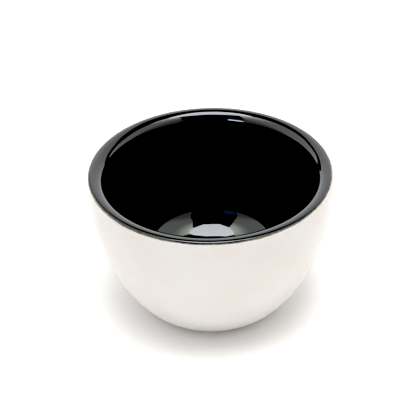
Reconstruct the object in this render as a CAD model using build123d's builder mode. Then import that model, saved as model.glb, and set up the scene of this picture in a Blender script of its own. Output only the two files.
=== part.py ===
from build123d import *
import math
import os

# Shaving bowl: a thick one-piece stoneware bowl in which a lather is whipped with a brush.
# The clay body carries four separate fired coats of glaze. All of it is turned about Z.
# Millimetres. Origin: centre of the foot, on the surface that the bowl stands on. +Z is up.

# ---- driving dimensions -------------------------------------------------------------------
BOWL_HEIGHT = 69.0              # foot to the top of the lip
BOWL_RADIUS = 55.0              # widest, just under the lip
GLAZE = 0.45                    # thickness of every coat of glaze

LIP_EDGE_RADIUS = 1.45          # round outer edge of the lip
LIP_CROWN_RADIUS = 5.4          # the top of the lip is flatter than its edge
LIP_CROWN_SLOPE = 13.0          # slope where the crown meets the round edge, degrees
LIP_BAND_ANGLE = 30.0           # the dark band ends here on that round edge, above level
LIP_INNER_DROP = 4.4            # height over which the lip rolls down into the bowl
LIP_INNER_SIDE_HANDLE = 3.8     # curve handles of that roll: full near the wall,
LIP_INNER_TOP_HANDLE = 0.95      # and leaving the top of the lip early
BORE_RADIUS = 47.7              # inside radius just under the lip

OUTER_WALL_HANDLE = 44.1        # the outside stays upright, then turns in towards the foot
OUTER_BASE_RADIUS = 30.7        # where the outside becomes level above the foot
OUTER_BASE_HANDLE = 2.2

FLOOR_HEIGHT = 10.5             # inside floor at the centre
FLOOR_DISH_RADIUS = 120.0       # the floor is a shallow dish
LOW_CORNER_RADIUS = 25.0        # floor to wall, inside: first a wide turn,
HIGH_CORNER_RADIUS = 15.0       # then a closer one
FLOOR_SLOPE = 12.0              # slope where the dish meets the wide turn, degrees
CORNER_SLOPE = 34.0             # slope where the two turns meet
WALL_SLOPE = 62.0               # slope where the wall begins
INNER_WALL_TOP_HANDLE = 18.7
INNER_WALL_LOW_HANDLE = 10.8

FOOT_HEIGHT = 2.3               # underside of the bowl at the foot ring
FOOT_OUTER_RADIUS = 29.2
FOOT_INNER_RADIUS = 25.0
FOOT_GLAZE_LINE = 1.0           # the coats stop this far above the surface
FOOT_NECK_RADIUS = 0.9          # hollow where the outside meets the foot ring
FOOT_EDGE_RADIUS = 0.5          # rubbed edges of the bare foot
RECESS_HEIGHT = 3.2             # ceiling of the recess inside the foot ring
RECESS_CORNER_RADIUS = 1.6


def on_slope(centre, radius, slope):
    """Point below a centre where a dished surface of that radius has the slope, in degrees."""
    angle = math.radians(slope)
    return centre[0] + radius * math.sin(angle), centre[1] - radius * math.cos(angle)


# ---- derived points -----------------------------------------------------------------------
HANDLE_PER_OFFSET = 0.55        # an offset curve needs its handles longer by this share
LIP_CROWN_SPAN = LIP_CROWN_RADIUS - LIP_EDGE_RADIUS
LIP_CROWN_TURN = math.radians(LIP_CROWN_SLOPE)
LIP_EDGE_CENTRE = (
    BOWL_RADIUS - LIP_EDGE_RADIUS,
    BOWL_HEIGHT - LIP_CROWN_RADIUS + LIP_CROWN_SPAN * math.cos(LIP_CROWN_TURN),
)
LIP_CROWN_CENTRE = (
    LIP_EDGE_CENTRE[0] - LIP_CROWN_SPAN * math.sin(LIP_CROWN_TURN),
    BOWL_HEIGHT - LIP_CROWN_RADIUS,
)
BORE_TOP = BOWL_HEIGHT - LIP_INNER_DROP
FLOOR_CENTRE = (0, FLOOR_HEIGHT + FLOOR_DISH_RADIUS)
NECK_CENTRE = (FOOT_OUTER_RADIUS + FOOT_NECK_RADIUS, FOOT_HEIGHT - FOOT_NECK_RADIUS)
RECESS_CENTRE = (FOOT_INNER_RADIUS - RECESS_CORNER_RADIUS, RECESS_HEIGHT - RECESS_CORNER_RADIUS)
LOW_CORNER_CENTRE = on_slope(FLOOR_CENTRE, FLOOR_DISH_RADIUS - LOW_CORNER_RADIUS, FLOOR_SLOPE)
HIGH_CORNER_CENTRE = on_slope(
    LOW_CORNER_CENTRE, LOW_CORNER_RADIUS - HIGH_CORNER_RADIUS, CORNER_SLOPE
)

# ---- the section, one stretch at a time ---------------------------------------------------
# Every stretch is drawn twice: at depth 0 it is the surface of the glaze, and at depth GLAZE
# it is the face of the clay under it. So the coats and the clay share their faces exactly.


def rounded_turn(side, side_handle, level, level_handle, shift):
    """Curve that leaves its side point upright and reaches its level point level.

    The shift moves the whole curve sideways at one end and down at the other.
    """
    stretch = HANDLE_PER_OFFSET * shift
    Bezier(
        (side[0] + shift, side[1]),
        (side[0] + shift, side[1] - side_handle - stretch),
        (level[0] + level_handle + stretch, level[1] - shift),
        (level[0], level[1] - shift),
    )


def outer_wall(depth):
    top = (BOWL_RADIUS, LIP_EDGE_CENTRE[1])
    base = (OUTER_BASE_RADIUS, FOOT_HEIGHT)
    rounded_turn(top, OUTER_WALL_HANDLE, base, OUTER_BASE_HANDLE, -depth)


def outer_neck(depth):
    """Level underside, hollow neck and the side of the foot ring down to the glaze line."""
    side = FOOT_OUTER_RADIUS - depth
    Line((OUTER_BASE_RADIUS, FOOT_HEIGHT + depth), (NECK_CENTRE[0], FOOT_HEIGHT + depth))
    CenterArc(NECK_CENTRE, FOOT_NECK_RADIUS + depth, 90, 90)
    Line((side, NECK_CENTRE[1]), (side, FOOT_GLAZE_LINE))


def lip_edge_below_band(depth):
    CenterArc(LIP_EDGE_CENTRE, LIP_EDGE_RADIUS - depth, 0, LIP_BAND_ANGLE)


def lip_edge_in_band(depth):
    """The rest of the round edge, and the crown up to the top of the lip."""
    crown_start = 90 - LIP_CROWN_SLOPE
    CenterArc(
        LIP_EDGE_CENTRE, LIP_EDGE_RADIUS - depth, LIP_BAND_ANGLE, crown_start - LIP_BAND_ANGLE
    )
    CenterArc(LIP_CROWN_CENTRE, LIP_CROWN_RADIUS - depth, crown_start, LIP_CROWN_SLOPE)


def lip_roll(depth):
    """From the top of the lip, inwards and down to the bore."""
    bore = (BORE_RADIUS, BORE_TOP)
    apex = (LIP_CROWN_CENTRE[0], BOWL_HEIGHT)
    rounded_turn(bore, -LIP_INNER_SIDE_HANDLE, apex, -LIP_INNER_TOP_HANDLE, depth)


def inner_wall(depth):
    stretch = HANDLE_PER_OFFSET * depth
    foot = on_slope(HIGH_CORNER_CENTRE, HIGH_CORNER_RADIUS + depth, WALL_SLOPE)
    slope = math.radians(WALL_SLOPE)
    low_handle = INNER_WALL_LOW_HANDLE + stretch
    Bezier(
        (BORE_RADIUS + depth, BORE_TOP),
        (BORE_RADIUS + depth, BORE_TOP - INNER_WALL_TOP_HANDLE - stretch),
        (foot[0] + low_handle * math.cos(slope), foot[1] + low_handle * math.sin(slope)),
        foot,
    )


def inner_floor(depth):
    """The two turns of the corner and the dished floor, each from its lower slope to its upper."""
    turns = (
        (HIGH_CORNER_CENTRE, HIGH_CORNER_RADIUS, CORNER_SLOPE, WALL_SLOPE),
        (LOW_CORNER_CENTRE, LOW_CORNER_RADIUS, FLOOR_SLOPE, CORNER_SLOPE),
        (FLOOR_CENTRE, FLOOR_DISH_RADIUS, 0, FLOOR_SLOPE),
    )
    for centre, radius, low_slope, high_slope in turns:
        CenterArc(centre, radius + depth, low_slope - 90, high_slope - low_slope)


def recess(depth):
    """Ceiling of the recess and the inner side of the foot ring, down to the glaze line."""
    side = FOOT_INNER_RADIUS + depth
    Line((0, RECESS_HEIGHT + depth), (RECESS_CENTRE[0], RECESS_HEIGHT + depth))
    CenterArc(RECESS_CENTRE, RECESS_CORNER_RADIUS + depth, 0, 90)
    Line((side, RECESS_CENTRE[1]), (side, FOOT_GLAZE_LINE))


def bare_foot():
    """The unglazed ring that the bowl stands on."""
    outer = FOOT_OUTER_RADIUS - GLAZE
    inner = FOOT_INNER_RADIUS + GLAZE
    edge = FOOT_EDGE_RADIUS
    Line((outer, FOOT_GLAZE_LINE), (outer, edge))
    CenterArc((outer - edge, edge), edge, -90, 90)
    Line((outer - edge, 0), (inner + edge, 0))
    CenterArc((inner + edge, edge), edge, 180, 90)
    Line((inner, edge), (inner, FOOT_GLAZE_LINE))


def on_lip(radius, angle):
    """Point on the round outer edge of the lip, at an angle above level."""
    turn = math.radians(angle)
    return LIP_EDGE_CENTRE[0] + radius * math.cos(turn), LIP_EDGE_CENTRE[1] + radius * math.sin(turn)


def lip_band_edge():
    """Joint between the dark band and the pale coat, square to the surface."""
    Line(on_lip(LIP_EDGE_RADIUS, LIP_BAND_ANGLE), on_lip(LIP_EDGE_RADIUS - GLAZE, LIP_BAND_ANGLE))


def bore_joint():
    """Joint between the lip band and the liner, where the wall of the bowl begins."""
    Line((BORE_RADIUS, BORE_TOP), (BORE_RADIUS + GLAZE, BORE_TOP))


# ---- stoneware body: the clay under all the coats ------------------------------------------
with BuildPart() as stoneware_body:
    with BuildSketch(Plane.XZ) as clay_section:
        with BuildLine():
            outer_wall(GLAZE)
            outer_neck(GLAZE)
            bare_foot()
            recess(GLAZE)
            Line((0, RECESS_HEIGHT + GLAZE), (0, FLOOR_HEIGHT - GLAZE))
            inner_floor(GLAZE)
            inner_wall(GLAZE)
            lip_roll(GLAZE)
            lip_edge_in_band(GLAZE)
            lip_edge_below_band(GLAZE)
        make_face()
    revolve(axis=Axis.Z)
stoneware_body.part.label = "stoneware_body"

# ---- exterior glaze: pale satin coat from the lip band to the side of the foot -------------
with BuildPart() as exterior_glaze:
    with BuildSketch(Plane.XZ):
        with BuildLine():
            for layer in (0, GLAZE):
                lip_edge_below_band(layer)
                outer_wall(layer)
                outer_neck(layer)
            lip_band_edge()
            Line((FOOT_OUTER_RADIUS, FOOT_GLAZE_LINE), (FOOT_OUTER_RADIUS - GLAZE, FOOT_GLAZE_LINE))
        make_face()
    revolve(axis=Axis.Z)
exterior_glaze.part.label = "exterior_glaze"

# ---- rim glaze band: dark coat brushed over the lip ----------------------------------------
with BuildPart() as rim_glaze_band:
    with BuildSketch(Plane.XZ):
        with BuildLine():
            for layer in (0, GLAZE):
                lip_edge_in_band(layer)
                lip_roll(layer)
            lip_band_edge()
            bore_joint()
        make_face()
    revolve(axis=Axis.Z)
rim_glaze_band.part.label = "rim_glaze_band"

# ---- interior glaze: dark glossy liner poured into the bowl --------------------------------
with BuildPart() as interior_glaze:
    with BuildSketch(Plane.XZ):
        with BuildLine():
            for layer in (0, GLAZE):
                inner_wall(layer)
                inner_floor(layer)
            bore_joint()
            Line((0, FLOOR_HEIGHT), (0, FLOOR_HEIGHT - GLAZE))
        make_face()
    revolve(axis=Axis.Z)
interior_glaze.part.label = "interior_glaze"

# ---- recess glaze: pale coat in the recess inside the foot ring ----------------------------
with BuildPart() as recess_glaze:
    with BuildSketch(Plane.XZ):
        with BuildLine():
            for layer in (0, GLAZE):
                recess(layer)
            Line((0, RECESS_HEIGHT), (0, RECESS_HEIGHT + GLAZE))
            Line((FOOT_INNER_RADIUS, FOOT_GLAZE_LINE), (FOOT_INNER_RADIUS + GLAZE, FOOT_GLAZE_LINE))
        make_face()
    revolve(axis=Axis.Z)
recess_glaze.part.label = "recess_glaze"

# ---- one file for each piece ---------------------------------------------------------------
os.makedirs("parts", exist_ok=True)
for piece in (stoneware_body, exterior_glaze, rim_glaze_band, interior_glaze, recess_glaze):
    export_step(piece.part, f"parts/{piece.part.label}.step")
    print(piece.part.label, "volume", round(piece.part.volume / 1000, 2), "cm3")
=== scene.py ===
import math
from math import radians

import bmesh
import bpy
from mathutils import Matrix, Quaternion, Vector


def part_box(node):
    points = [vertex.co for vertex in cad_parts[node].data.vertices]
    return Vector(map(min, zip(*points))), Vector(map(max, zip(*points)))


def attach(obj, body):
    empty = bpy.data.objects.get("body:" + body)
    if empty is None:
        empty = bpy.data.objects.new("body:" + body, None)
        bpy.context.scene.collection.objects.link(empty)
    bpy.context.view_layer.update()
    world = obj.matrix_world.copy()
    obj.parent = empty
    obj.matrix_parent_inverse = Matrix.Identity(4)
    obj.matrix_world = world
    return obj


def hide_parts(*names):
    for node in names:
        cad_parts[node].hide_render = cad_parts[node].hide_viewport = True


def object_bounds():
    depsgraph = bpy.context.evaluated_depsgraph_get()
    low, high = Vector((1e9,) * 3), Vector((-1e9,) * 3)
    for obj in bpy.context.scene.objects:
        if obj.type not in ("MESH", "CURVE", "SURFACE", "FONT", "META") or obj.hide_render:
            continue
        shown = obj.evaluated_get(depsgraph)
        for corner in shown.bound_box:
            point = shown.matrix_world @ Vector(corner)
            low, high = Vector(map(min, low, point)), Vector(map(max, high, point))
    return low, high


# Shaving bowl: a stoneware body under four coats of glaze, all turned about Z.
# The section is the CAD's. What is added here is how a fired glaze differs from a turned solid:
# edges that wander, a fuller edge where a coat ends on the foot, and the finish of every surface.
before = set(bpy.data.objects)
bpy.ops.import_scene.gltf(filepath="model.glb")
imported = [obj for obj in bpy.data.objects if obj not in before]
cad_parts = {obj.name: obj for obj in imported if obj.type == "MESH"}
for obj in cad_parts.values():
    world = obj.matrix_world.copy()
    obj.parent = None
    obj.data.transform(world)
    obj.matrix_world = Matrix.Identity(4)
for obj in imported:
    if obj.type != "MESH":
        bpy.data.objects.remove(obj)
CAD_LOW, CAD_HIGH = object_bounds()

MM = 0.001                      # metres in a millimetre

# ---- sizes in millimetres and degrees -----------------------------------------------------------
GLAZE = 0.45                    # thickness of every coat

# Read from the frame.
LINER_LOW, LINER_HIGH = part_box("interior_glaze")
RECESS_LOW, RECESS_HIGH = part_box("recess_glaze")

RADIUS = CAD_HIGH.x / MM
HEIGHT = CAD_HIGH.z / MM
BORE_TOP = LINER_HIGH.z / MM
BORE_RADIUS = LINER_HIGH.x / MM - GLAZE
FLOOR_HEIGHT = LINER_LOW.z / MM + GLAZE
GLAZE_LINE = RECESS_LOW.z / MM
RECESS_HEIGHT = RECESS_HIGH.z / MM - GLAZE
FOOT_INNER = RECESS_HIGH.x / MM - GLAZE

# The rest of the section, as the CAD draws it.
LIP_EDGE_RADIUS = 1.45
CROWN_RADIUS = 5.4
CROWN_SLOPE = 13.0
BAND_ANGLE = 30.0
LIP_SIDE_HANDLE = 3.8
LIP_TOP_HANDLE = 0.95
WALL_HANDLE = 44.1
BASE_RADIUS = 30.7
BASE_HANDLE = 2.2
DISH_RADIUS = 120.0
LOW_CORNER_RADIUS = 25.0
HIGH_CORNER_RADIUS = 15.0
FLOOR_SLOPE = 12.0
CORNER_SLOPE = 34.0
WALL_SLOPE = 62.0
WALL_TOP_HANDLE = 18.7
WALL_LOW_HANDLE = 10.8
FOOT_OUTER = 29.2
FOOT_HEIGHT = 2.3
FOOT_NECK = 0.9
FOOT_EDGE = 0.5
RECESS_CORNER = 1.6
HANDLE_PER_OFFSET = 0.55        # an offset curve needs its handles longer by this share
SAME_PLACE = 1e-6               # points nearer than this are one point


def on_slope(centre, radius, slope):
    """Point below a centre where a dish of that radius has the slope, in degrees."""
    angle = radians(slope)
    return centre[0] + radius * math.sin(angle), centre[1] - radius * math.cos(angle)


CROWN_SPAN = CROWN_RADIUS - LIP_EDGE_RADIUS
CROWN_TURN = radians(CROWN_SLOPE)
LIP_EDGE_CENTRE = (RADIUS - LIP_EDGE_RADIUS, HEIGHT - CROWN_RADIUS + CROWN_SPAN * math.cos(CROWN_TURN))
CROWN_CENTRE = (LIP_EDGE_CENTRE[0] - CROWN_SPAN * math.sin(CROWN_TURN), HEIGHT - CROWN_RADIUS)
DISH_CENTRE = (0.0, FLOOR_HEIGHT + DISH_RADIUS)
LOW_CORNER_CENTRE = on_slope(DISH_CENTRE, DISH_RADIUS - LOW_CORNER_RADIUS, FLOOR_SLOPE)
HIGH_CORNER_CENTRE = on_slope(LOW_CORNER_CENTRE, LOW_CORNER_RADIUS - HIGH_CORNER_RADIUS, CORNER_SLOPE)
NECK_CENTRE = (FOOT_OUTER + FOOT_NECK, FOOT_HEIGHT - FOOT_NECK)
RECESS_CENTRE = (FOOT_INNER - RECESS_CORNER, RECESS_HEIGHT - RECESS_CORNER)

# ---- how the glaze ran -------------------------------------------------------------------------
# Each wave is its count round the bowl, its height and its phase in degrees.
BAND_WAVES = ((1, 5.0, 0), (2, 11.5, 0), (4, 5.2, 0), (13, 1.2, 40), (21, 1.0, 95), (34, 0.8, 10))
FOOT_LINE_WAVES = ((2, 0.04, 20), (5, 0.04, 110), (9, 0.03, 60), (16, 0.02, 0))
FOOT_LINE_RISE = 0.13           # those heights together, so the line is nowhere below the CAD's
FOOT_BEAD = 0.13                # the glaze stands this much thicker along its lower edge
FOOT_BEAD_HEIGHT = 0.5
FOOT_BEAD_FACE = ((1.0, 1.0), (1.05, 0.6), (0.7, 0.25), (-0.2, 0.06))  # shares of those two
FOOT_BEAD_UNDER = ((-0.5, 0.0), (-1.0, 0.06))  # shares of GLAZE and of FOOT_BEAD_HEIGHT
FOOT_CLAY_GAP = 0.04            # the clay side of a coat starts this far above the line
NECK_END = 150                  # the face of a coat leaves the neck for that edge at this angle,
RECESS_START = 15               # and the corner of the recess at this one


def waves(turn, parts):
    return sum(height * math.cos(count * turn + radians(phase)) for count, height, phase in parts)


def band_edge(turn):
    """Where the dark band ends on the round edge of the lip, in degrees above level."""
    return BAND_ANGLE + waves(turn, BAND_WAVES)


def foot_line(turn):
    """Height at which the coats end on the foot."""
    return GLAZE_LINE + FOOT_LINE_RISE + waves(turn, FOOT_LINE_WAVES)


# ---- the section ---------------------------------------------------------------------------------
# Each stretch is a path of (radius, height) points. Depth 0 is the face of the glaze and depth
# GLAZE is the face of the clay under it. A fine stretch is one that shows, and a hidden one is
# drawn in fewer steps.
def arc(centre, radius, start, end, steps):
    """Points on an arc, angles in degrees from level outwards."""
    points = []
    for i in range(steps + 1):
        angle = radians(start + (end - start) * i / steps)
        points.append((centre[0] + radius * math.cos(angle), centre[1] + radius * math.sin(angle)))
    return points


def bezier(a, b, c, d, steps):
    """Points on the cubic curve from a to d with handles b and c."""
    points = []
    for i in range(steps + 1):
        t = i / steps
        s = 1 - t
        w = (s * s * s, 3 * s * s * t, 3 * s * t * t, t * t * t)
        points.append(tuple(w[0] * a[k] + w[1] * b[k] + w[2] * c[k] + w[3] * d[k] for k in (0, 1)))
    return points


def rounded_turn(side, side_handle, level, level_handle, shift, steps):
    """Curve that is upright at its side point and level at its level point."""
    stretch = HANDLE_PER_OFFSET * shift
    return bezier(
        (side[0] + shift, side[1]),
        (side[0] + shift, side[1] - side_handle - stretch),
        (level[0] + level_handle + stretch, level[1] - shift),
        (level[0], level[1] - shift),
        steps,
    )


def joined(*runs):
    """One path from runs that follow each other, without the doubled points."""
    path = list(runs[0])
    for run in runs[1:]:
        path += run[1:] if math.dist(path[-1], run[0]) < SAME_PLACE else run
    return path


def foot_side(side, out, line, depth):
    """The last stretch of a coat on the side of the foot: a thick rounded edge over bare clay.

    out is 1 where the coat faces away from Z and -1 where it faces Z.
    """
    if depth:
        return [(side, NECK_CENTRE[1]), (side, line + FOOT_CLAY_GAP)]
    shape = [(stand * FOOT_BEAD, rise) for stand, rise in FOOT_BEAD_FACE]
    shape += [(stand * GLAZE, rise) for stand, rise in FOOT_BEAD_UNDER]
    return [(side + out * stand, line + FOOT_BEAD_HEIGHT * rise) for stand, rise in shape]


def outside(depth, turn, fine=True):
    """From the band down to the edge of the glaze on the foot."""
    top = (RADIUS, LIP_EDGE_CENTRE[1])
    base = (BASE_RADIUS, FOOT_HEIGHT)
    return joined(
        arc(LIP_EDGE_CENTRE, LIP_EDGE_RADIUS - depth, band_edge(turn), 0, 8 if fine else 3),
        rounded_turn(top, WALL_HANDLE, base, BASE_HANDLE, -depth, 56 if fine else 20),
        [(BASE_RADIUS, FOOT_HEIGHT + depth), (NECK_CENTRE[0], FOOT_HEIGHT + depth)],
        arc(NECK_CENTRE, FOOT_NECK + depth, 90, 180 if depth else NECK_END, 6 if fine else 3),
        foot_side(FOOT_OUTER - depth, 1, foot_line(turn), depth),
    )


def over_lip(depth, turn, fine=True):
    """From the edge of the band over the lip to the bore."""
    bore = (BORE_RADIUS, BORE_TOP)
    apex = (CROWN_CENTRE[0], HEIGHT)
    crown = 90 - CROWN_SLOPE
    roll = rounded_turn(bore, -LIP_SIDE_HANDLE, apex, -LIP_TOP_HANDLE, depth, 40 if fine else 8)
    return joined(
        arc(LIP_EDGE_CENTRE, LIP_EDGE_RADIUS - depth, band_edge(turn), crown, 14 if fine else 4),
        arc(CROWN_CENTRE, CROWN_RADIUS - depth, crown, 90, 8 if fine else 2),
        roll[::-1],
    )


def inside(depth, turn, fine=True):
    """From the bore down the wall and over the floor to the middle."""
    slope = radians(WALL_SLOPE)
    foot = on_slope(HIGH_CORNER_CENTRE, HIGH_CORNER_RADIUS + depth, WALL_SLOPE)
    stretch = HANDLE_PER_OFFSET * depth
    low_handle = WALL_LOW_HANDLE + stretch
    wall = bezier(
        (BORE_RADIUS + depth, BORE_TOP),
        (BORE_RADIUS + depth, BORE_TOP - WALL_TOP_HANDLE - stretch),
        (foot[0] + low_handle * math.cos(slope), foot[1] + low_handle * math.sin(slope)),
        foot,
        48 if fine else 12,
    )
    turns = (
        (HIGH_CORNER_CENTRE, HIGH_CORNER_RADIUS, WALL_SLOPE, CORNER_SLOPE),
        (LOW_CORNER_CENTRE, LOW_CORNER_RADIUS, CORNER_SLOPE, FLOOR_SLOPE),
        (DISH_CENTRE, DISH_RADIUS, FLOOR_SLOPE, 0),
    )
    return joined(wall, *(
        arc(centre, radius + depth, upper - 90, lower - 90, 14 if fine else 6)
        for centre, radius, upper, lower in turns
    ))


def under_recess(depth, turn, fine=True):
    """From the edge of the glaze on the foot over the ceiling of the recess to the middle."""
    return joined(
        foot_side(FOOT_INNER + depth, -1, foot_line(turn), depth)[::-1],
        arc(RECESS_CENTRE, RECESS_CORNER + depth, 0 if depth else RECESS_START, 90, 8 if fine else 3),
        [(RECESS_CENTRE[0] * i / 6, RECESS_HEIGHT + depth) for i in range(5, -1, -1)],
    )


def bare_foot():
    """The unglazed ring that the bowl stands on, from its outer side to its inner side."""
    outer = FOOT_OUTER - GLAZE
    inner = FOOT_INNER + GLAZE
    return joined(
        [(outer, NECK_CENTRE[1]), (outer, FOOT_EDGE)],
        arc((outer - FOOT_EDGE, FOOT_EDGE), FOOT_EDGE, 0, -90, 6),
        [(outer - FOOT_EDGE, 0.0), (inner + FOOT_EDGE, 0.0)],
        arc((inner + FOOT_EDGE, FOOT_EDGE), FOOT_EDGE, 270, 180, 6),
        [(inner, FOOT_EDGE), (inner, NECK_CENTRE[1])],
    )


def clay_under(path, turn):
    """The clay face under a coat, without the sides of the foot, which the bare foot includes."""
    lowest = NECK_CENTRE[1] - SAME_PLACE
    return [point for point in path(GLAZE, turn, False) if point[1] >= lowest]


def whole_body(turn):
    """The clay under all four coats, from the middle of the floor round to the recess."""
    return joined(
        inside(GLAZE, turn, False)[::-1],
        over_lip(GLAZE, turn, False)[::-1],
        clay_under(outside, turn),
        bare_foot(),
        clay_under(under_recess, turn),
    )


# ---- turning a section into a mesh ---------------------------------------------------------------
TURNS = 288                     # faces round the bowl
SHARP = 0.7                     # radians between faces that meet in an edge, not in a round


def lathe(name, section, closed):
    """Turns a section about Z.

    section(turn) gives the path in that direction, which has the same number of points in every
    direction. An open path starts and ends on Z. Each vertex keeps how far along the path it lies,
    in millimetres, as the attribute run.
    """
    turns = [2 * math.pi * i / TURNS for i in range(TURNS)]
    paths = [section(turn) for turn in turns]
    bm = bmesh.new()
    run = bm.verts.layers.float.new("run")
    rings = []
    lengths = [0.0] * TURNS
    for k in range(len(paths[0])):
        ring = []
        for i, turn in enumerate(turns):
            r, z = paths[i][k]
            if k:
                lengths[i] += math.dist(paths[i][k - 1], paths[i][k])
            if r < SAME_PLACE:
                ring = [bm.verts.new((0, 0, z * MM))]
                ring[0][run] = lengths[0]
                break
            ring.append(bm.verts.new((r * MM * math.cos(turn), r * MM * math.sin(turn), z * MM)))
            ring[-1][run] = lengths[i]
        rings.append(ring)
    pairs = list(zip(rings, rings[1:]))
    if closed:
        pairs.append((rings[-1], rings[0]))
    for a, b in pairs:
        for i in range(TURNS if len(a) + len(b) > 2 else 0):
            j = (i + 1) % TURNS
            if len(a) == 1:
                bm.faces.new((a[0], b[i], b[j]))
            elif len(b) == 1:
                bm.faces.new((a[i], b[0], a[j]))
            else:
                bm.faces.new((a[i], b[i], b[j], a[j]))
    bmesh.ops.recalc_face_normals(bm, faces=bm.faces)
    for face in bm.faces:
        face.smooth = True
    for edge in bm.edges:
        edge.smooth = edge.calc_face_angle(0.0) < SHARP
    mesh = bpy.data.meshes.new(name)
    bm.to_mesh(mesh)
    bm.free()
    obj = bpy.data.objects.new(name, mesh)
    bpy.context.scene.collection.objects.link(obj)
    return obj


def coat(name, path):
    """A closed skin: its visible side, and the clay side under it."""
    return lathe(name, lambda turn: joined(path(0, turn), path(GLAZE, turn, False)[::-1]), True)


# ---- materials -----------------------------------------------------------------------------------
def map_range(tree, curve, source, low, high, at_low, at_high):
    """Carries low to at_low and high to at_high on a smooth curve, in either order."""
    if low > high:
        low, high, at_low, at_high = high, low, at_high, at_low
    node = tree.nodes.new("ShaderNodeMapRange")
    node.interpolation_type = curve
    node.inputs["From Min"].default_value = low
    node.inputs["From Max"].default_value = high
    node.inputs["To Min"].default_value = at_low
    node.inputs["To Max"].default_value = at_high
    tree.links.new(source, node.inputs["Value"])
    return node.outputs["Result"]


class Finish:
    """A Principled material with short ways to add procedural detail in the object's own space."""

    def __init__(self, name):
        self.material = bpy.data.materials.new(name)
        self.material.use_nodes = True
        self.tree = self.material.node_tree
        self.shader = self.tree.nodes["Principled BSDF"]
        self.place = self.node("ShaderNodeTexCoord").outputs["Object"]

    def node(self, kind, **values):
        node = self.tree.nodes.new(kind)
        for key, value in values.items():
            setattr(node, key, value)
        return node

    def link(self, source, node, key):
        self.tree.links.new(source, node.inputs[key])

    def noise(self, per_mm, detail=3.0, offset=0.0, squash=1.0):
        """Noise from 0 to 1 with that many grains to the millimetre; squash flattens the grains."""
        place = self.node("ShaderNodeMapping")
        place.inputs["Location"].default_value = (offset, 0.37 * offset, -0.71 * offset)
        place.inputs["Scale"].default_value = (1, 1, squash)
        self.link(self.place, place, "Vector")
        grain = self.node("ShaderNodeTexNoise")
        grain.inputs["Scale"].default_value = per_mm / MM
        grain.inputs["Detail"].default_value = detail
        self.link(place.outputs[0], grain, "Vector")
        return grain.outputs["Fac"]

    def specks(self, per_mm, size, offset=0.0):
        """1 in small round specks, with that many cells to the millimetre."""
        place = self.node("ShaderNodeMapping")
        place.inputs["Location"].default_value = (offset, offset, offset)
        self.link(self.place, place, "Vector")
        cells = self.node("ShaderNodeTexVoronoi")
        cells.inputs["Scale"].default_value = per_mm / MM
        self.link(place.outputs[0], cells, "Vector")
        return self.remap(cells.outputs["Distance"], size, 0.4 * size, 0.0, 1.0)

    def remap(self, source, low, high, at_low, at_high):
        return map_range(self.tree, "SMOOTHSTEP", source, low, high, at_low, at_high)

    def math(self, operation, a, b):
        """a is a socket, and b is a number or a socket."""
        node = self.node("ShaderNodeMath", operation=operation)
        self.link(a, node, 0)
        if isinstance(b, float):
            node.inputs[1].default_value = b
        else:
            self.link(b, node, 1)
        return node.outputs[0]

    def mix(self, share, a, b):
        """Colour a where the share is 0 and b where it is 1; each is a colour or a socket."""
        node = self.node("ShaderNodeMix", data_type="RGBA")
        self.link(share, node, "Factor")
        color_a, color_b, color_out = node.inputs[6], node.inputs[7], node.outputs[2]
        for socket, value in ((color_a, a), (color_b, b)):
            if isinstance(value, tuple):
                socket.default_value = (*value, 1)
            else:
                self.tree.links.new(value, socket)
        return color_out

    def run(self):
        """How far along its section a point lies, in millimetres, as lathe() stored it."""
        return self.node("ShaderNodeAttribute", attribute_name="run").outputs["Fac"]

    def color(self, source):
        self.link(source, self.shader, "Base Color")

    def roughness(self, source):
        self.link(source, self.shader, "Roughness")

    def bump(self, *layers):
        """Each layer is a height source and its full height in millimetres."""
        normal = None
        for source, height in layers:
            node = self.node("ShaderNodeBump")
            node.inputs["Strength"].default_value = 1.0
            node.inputs["Distance"].default_value = height * MM
            self.link(source, node, "Height")
            if normal:
                self.link(normal, node, "Normal")
            normal = node.outputs["Normal"]
        self.link(normal, self.shader, "Normal")


def pale_glaze(name, color, offset):
    """Satin white: cloudy, a touch warmer in places, with a few fine iron specks from the clay."""
    m = Finish(name)
    warm = tuple(level * share for level, share in zip(color, (0.985, 0.968, 0.945)))
    iron = (0.42, 0.35, 0.27)
    cloud = m.remap(m.noise(0.045, 4.0, offset), 0.35, 0.68, 0.0, 1.0)
    tint = m.mix(cloud, color, warm)
    specks = m.specks(0.30, 0.07, offset)
    patches = m.remap(m.noise(0.09, 1.0, offset + 3), 0.5, 0.62, 0.0, 0.5)
    m.color(m.mix(m.math("MULTIPLY", specks, patches), tint, iron))
    m.roughness(m.remap(m.noise(0.16, 5.0, offset + 1), 0.3, 0.7, 0.30, 0.40))
    m.bump(
        (m.noise(0.055, 2.0, offset + 2, squash=9.0), 0.10),
        (m.noise(1.6, 2.0, offset + 4), 0.006),
    )
    m.shader.inputs["IOR"].default_value = 1.5
    return m.material


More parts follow.
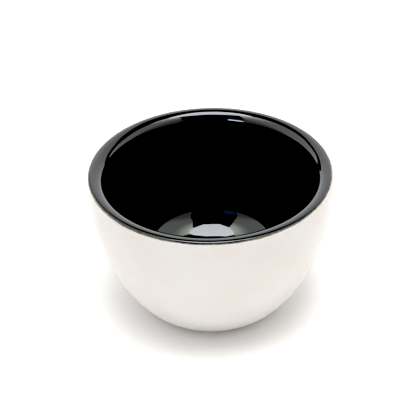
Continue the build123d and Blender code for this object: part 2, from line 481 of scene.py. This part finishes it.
def dark_glaze(name, breaks):
    """Deep gloss black, and brown where it breaks over the edge that it starts from."""
    m = Finish(name)
    black = (0.0042, 0.0038, 0.0040)
    deep = (0.0022, 0.0024, 0.0032)
    thin_brown = (0.150, 0.138, 0.108)
    thick_brown = (0.110, 0.098, 0.074)
    bare_edge = (0.26, 0.24, 0.20)
    cloud = m.remap(m.noise(0.11, 4.0, 5.0), 0.35, 0.65, 0.0, 1.0)
    body = m.mix(cloud, black, deep)
    rough = m.remap(m.noise(0.22, 4.0, 7.0), 0.3, 0.7, 0.02, 0.05)
    if breaks:
        run = m.math("ADD", m.run(), m.remap(m.noise(0.7, 3.0, 9.0), 0.25, 0.75, -0.15, 0.15))
        streak = m.remap(m.noise(1.2, 3.0, 2.0), 0.35, 0.7, 0.0, 1.0)
        brown = m.mix(streak, thin_brown, thick_brown)
        edge = m.mix(m.remap(run, 0.0, 0.45, 1.0, 0.0), brown, bare_edge)
        thin = m.remap(run, 0.30, 0.85, 1.0, 0.0)
        body = m.mix(thin, body, edge)
        rough = m.math("ADD", rough, m.math("MULTIPLY", thin, 0.30))
    m.color(body)
    m.roughness(rough)
    m.bump((m.noise(0.10, 2.0, 11.0), 0.010), (m.noise(0.9, 2.0, 13.0), 0.0008))
    return m.material


def bare_clay():
    """Buff stoneware: sandy, toasted in places, with dark grains and small pits."""
    m = Finish("bare_stoneware")
    buff = (0.56, 0.47, 0.36)
    toasted = (0.45, 0.33, 0.22)
    sandy = (0.66, 0.59, 0.49)
    dark = (0.16, 0.11, 0.07)
    toast = m.remap(m.noise(0.09, 4.0, 1.0), 0.35, 0.7, 0.0, 1.0)
    tint = m.mix(toast, buff, toasted)
    sand = m.remap(m.noise(3.0, 3.0, 2.0), 0.3, 0.7, 0.0, 1.0)
    tint = m.mix(m.math("MULTIPLY", sand, 0.35), tint, sandy)
    grains = m.specks(1.3, 0.20, 4.0)
    m.color(m.mix(m.math("MULTIPLY", grains, 0.6), tint, dark))
    m.roughness(m.remap(m.noise(1.1, 3.0, 6.0), 0.3, 0.7, 0.78, 0.95))
    m.bump(
        (m.noise(0.35, 3.0, 8.0, squash=5.0), 0.05),
        (m.noise(4.0, 3.0, 9.0), 0.03),
        (m.specks(1.0, 0.22, 12.0), -0.05),
    )
    return m.material


def finish_piece(obj, node, material):
    obj.data.materials.append(material)
    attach(obj, "root")
    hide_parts(node)


# ---- the five pieces -----------------------------------------------------------------------------
PALE = (0.690, 0.673, 0.664)
RECESS_PALE = (0.72, 0.70, 0.68)

outer_white = pale_glaze("pale_satin_glaze", PALE, 0.0)
finish_piece(coat("outer_coat", outside), "exterior_glaze", outer_white)

lip_black = dark_glaze("dark_lip_glaze", True)
finish_piece(coat("lip_coat", over_lip), "rim_glaze_band", lip_black)

liner_black = dark_glaze("dark_gloss_glaze", False)
finish_piece(coat("liner_coat", inside), "interior_glaze", liner_black)

recess_white = pale_glaze("pale_recess_glaze", RECESS_PALE, 40.0)
finish_piece(coat("recess_coat", under_recess), "recess_glaze", recess_white)

finish_piece(lathe("clay_body", whole_body, False), "stoneware_body", bare_clay())

# ---- studio --------------------------------------------------------------------------------------
# What the gloss mirrors: a lamp, reflectors, a backdrop and two panes of a window, all level and at
# one height. Their outlines are places over the bowl, as shares of that height, so they are also
# the directions in which the lip sees them. They are uneven, because each is set so that its image
# in the lip and on the floor ends where it does on the real bowl.
RIG_HEIGHT = 0.5                # metres above the lip
RIG_LEVEL = HEIGHT * MM + RIG_HEIGHT

# The reflectors' glow, where a place is a share of the rig's height as well.
LAMP_MIDDLE = 0.1               # how far behind the bowl's middle the lamp hangs
LAMP_GLOW_SPAN = (0.1, 0.62)    # distances from the lamp between which its glow
LAMP_GLOW = (10.0, 3.4)         # falls from the first strength to the second
FRONT_FADE_SPAN = (-1.1, -0.3)  # places from front to back between which
FRONT_FADE = (0.5, 1.0)         # the whole rises from the first share to the second


def emitter(name, color, strength):
    material = bpy.data.materials.new(name)
    material.use_nodes = True
    tree = material.node_tree
    tree.nodes.clear()
    light = tree.nodes.new("ShaderNodeEmission")
    light.name = "Emission"
    light.inputs["Color"].default_value = (*color, 1)
    light.inputs["Strength"].default_value = strength
    output = tree.nodes.new("ShaderNodeOutputMaterial")
    tree.links.new(light.outputs["Emission"], output.inputs["Surface"])
    return material


def stage_mesh(name, corners, material, mirrored):
    """A flat lamp or reflector that either only the gloss sees, or only the matt surfaces."""
    mesh = bpy.data.meshes.new(name)
    mesh.from_pydata([Vector(c) for c in corners], [], [range(len(corners))])
    mesh.materials.append(material)
    obj = bpy.data.objects.new(name, mesh)
    bpy.context.scene.collection.objects.link(obj)
    obj.visible_camera = False
    obj.visible_shadow = False
    obj.visible_diffuse = not mirrored
    obj.visible_glossy = mirrored


def overhead(name, outline, material):
    corners = [(u * RIG_HEIGHT, v * RIG_HEIGHT, RIG_LEVEL) for u, v in outline]
    stage_mesh(name, corners, material, True)


def lit_reflector(name, color):
    """Bright beside the lamp, even further out, and fading towards the front of the bowl."""
    material = emitter(name, color, 1.0)
    tree = material.node_tree
    place = tree.nodes.new("ShaderNodeTexCoord").outputs["Object"]
    lamp = tree.nodes.new("ShaderNodeVectorMath")
    lamp.operation = "DISTANCE"
    lamp.inputs[1].default_value = (0, LAMP_MIDDLE * RIG_HEIGHT, RIG_LEVEL)
    tree.links.new(place, lamp.inputs[0])
    split = tree.nodes.new("ShaderNodeSeparateXYZ")
    tree.links.new(place, split.inputs[0])
    spans = (
        (lamp.outputs["Value"], LAMP_GLOW_SPAN, LAMP_GLOW),
        (split.outputs["Y"], FRONT_FADE_SPAN, FRONT_FADE),
    )
    both = tree.nodes.new("ShaderNodeMath")
    both.operation = "MULTIPLY"
    for i, (source, (start, end), levels) in enumerate(spans):
        level = map_range(tree, "SMOOTHERSTEP", source, start * RIG_HEIGHT, end * RIG_HEIGHT, *levels)
        tree.links.new(level, both.inputs[i])
    tree.links.new(both.outputs[0], tree.nodes["Emission"].inputs["Strength"])
    return material


overhead(
    "softbox",
    [(-0.12, -0.12), (0.12, -0.12), (0.25, 0.03), (0.28, 0.10), (0.25, 0.26), (0.18, 0.34), (0.04, 0.47),
     (-0.12, 0.47), (-0.23, 0.34), (-0.25, 0.20), (-0.235, 0.027)],
    emitter("softbox_light", (0.95, 0.97, 1.02), 13.6),
)
reflector = lit_reflector("reflector_light", (0.965, 1.0, 0.94))
overhead(
    "reflector_left",
    [(-0.22, 0.40), (-0.25, 0.20), (-0.235, 0.027), (-0.30, -0.10), (-0.407, -0.306), (-0.488, -0.45),
     (-0.805, -0.904), (-1.2, -1.8), (-6, -9), (-9, 0), (-9, 9.8), (-1.8, 2.17), (-1.1, 1.43),
     (-0.91, 1.12), (-0.75, 0.93), (-0.575, 0.82), (-0.445, 0.655), (-0.337, 0.535), (-0.26, 0.43)],
    reflector,
)
overhead(
    "reflector_right",
    [(0.24, 0.28), (0.246, 0.016), (0.34, -0.35), (0.538, -0.76), (0.9, -1.8), (6, -9), (9, 0), (9, 5.7),
     (3.4, 2.25), (1.8, 1.09), (1.25, 0.72), (0.85, 0.42), (0.52, 0.33), (0.42, 0.27), (0.31, 0.33)],
    reflector,
)
overhead(
    "backdrop",
    [(-9, 13), (-1.8, 3.2), (-1.1, 2.0), (-0.78, 1.5), (-0.665, 1.27), (-0.525, 1.1), (-0.43, 1.0),
     (-0.315, 0.97), (-0.125, 0.985), (-0.03, 1.04), (0.06, 0.98), (0.137, 0.875), (0.285, 0.79),
     (0.665, 0.79), (0.86, 0.93), (1.16, 1.2), (2.1, 2.03), (9, 8.6), (9, 14), (-9, 14)],
    emitter("backdrop_light", (0.96, 0.99, 1.0), 2.8),
)
overhead(
    "window",
    [(-0.86, -1.05), (-0.42, -1.0), (-0.62, -2.5), (-1.35, -2.5)],
    emitter("window_light", (0.28, 0.55, 1.0), 1.7),
)
overhead(
    "window_low",
    [(-1.0, -2.6), (-1.7, -2.6), (-2.6, -3.6), (-7.0, -9.5), (-6.0, -13.0), (-3.2, -9.0), (-1.6, -4.8)],
    emitter("window_low_light", (0.8, 0.9, 1.0), 20.0),
)

# What lights the matt surfaces: one soft lamp overhead, and the pale room.
KEY_SIZE = 0.33                 # metres
KEY_HEIGHT = 0.57
KEY_SHIFT = (0.012, -0.055)
ROOM_COLOR = (1.0, 0.98, 0.965)
ROOM_STRENGTH = 0.82
stage_mesh(
    "key_lamp",
    [(KEY_SHIFT[0] + x * KEY_SIZE / 2, KEY_SHIFT[1] + y * KEY_SIZE / 2, KEY_HEIGHT)
     for x, y in ((-1, -1), (-1, 1), (1, 1), (1, -1))],
    emitter("key_light", (1.0, 0.99, 0.975), 7.7),
    False,
)
world = bpy.data.worlds.new("world")
bpy.context.scene.world = world
world.use_nodes = True
room = world.node_tree.nodes["Background"]
room.inputs["Color"].default_value = (*ROOM_COLOR, 1)
room.inputs["Strength"].default_value = ROOM_STRENGTH
world.cycles_visibility.glossy = False

FLOOR_SIZE = 6                  # metres
bpy.ops.mesh.primitive_plane_add(size=FLOOR_SIZE)
floor = bpy.context.object
floor.name = "floor"
paper = Finish("paper")
paper.shader.inputs["Base Color"].default_value = (0.93, 0.93, 0.93, 1)
paper.shader.inputs["Roughness"].default_value = 0.9
floor.data.materials.append(paper.material)

# ---- camera --------------------------------------------------------------------------------------
# It looks at a place in the bowl, given in shares of the bowl's radius from the middle of the lip.
CAM_DISTANCE = 14 * RADIUS * MM
CAM_PITCH = radians(33.67)
CAM_ROLL = radians(-1.28)
CAM_LENS = 149.26
AIM_ASIDE = -0.0253
AIM_DOWN = 0.3656
cam_data = bpy.data.cameras.new("camera")
cam_data.lens = CAM_LENS
cam = bpy.data.objects.new("camera", cam_data)
bpy.context.scene.collection.objects.link(cam)
eye = Vector((0, -CAM_DISTANCE * math.cos(CAM_PITCH), HEIGHT * MM + CAM_DISTANCE * math.sin(CAM_PITCH)))
aim = Vector((AIM_ASIDE * RADIUS * MM, 0, (HEIGHT - AIM_DOWN * RADIUS) * MM))
cam.rotation_mode = "QUATERNION"
cam.location = eye
cam.rotation_quaternion = (aim - eye).to_track_quat("-Z", "Y") @ Quaternion((0, 0, 1), CAM_ROLL)
bpy.context.scene.camera = cam

# ---- tone ----------------------------------------------------------------------------------------
# A plain contrast curve: deep shadows go to black and the paper goes to white.
BLACK_POINT = 0.165             # display levels from 0 to 1
WHITE_POINT = 0.965
CURVE_LEVELS = (0.25, 0.38, 0.54, 0.72, 0.86)


def linear(level):
    """Light that an sRGB display level stands for."""
    return level / 12.92 if level <= 0.04045 else ((level + 0.055) / 1.055) ** 2.4


view = bpy.context.scene.view_settings
view.view_transform = "Standard"
view.use_curve_mapping = True
tone = view.curve_mapping.curves[3]  # the one for all channels together
tone.points[0].location = (linear(BLACK_POINT), 0)
tone.points[-1].location = (linear(WHITE_POINT), 1)
for level in CURVE_LEVELS:
    tone.points.new(linear(level), linear((level - BLACK_POINT) / (WHITE_POINT - BLACK_POINT)))
view.curve_mapping.update()
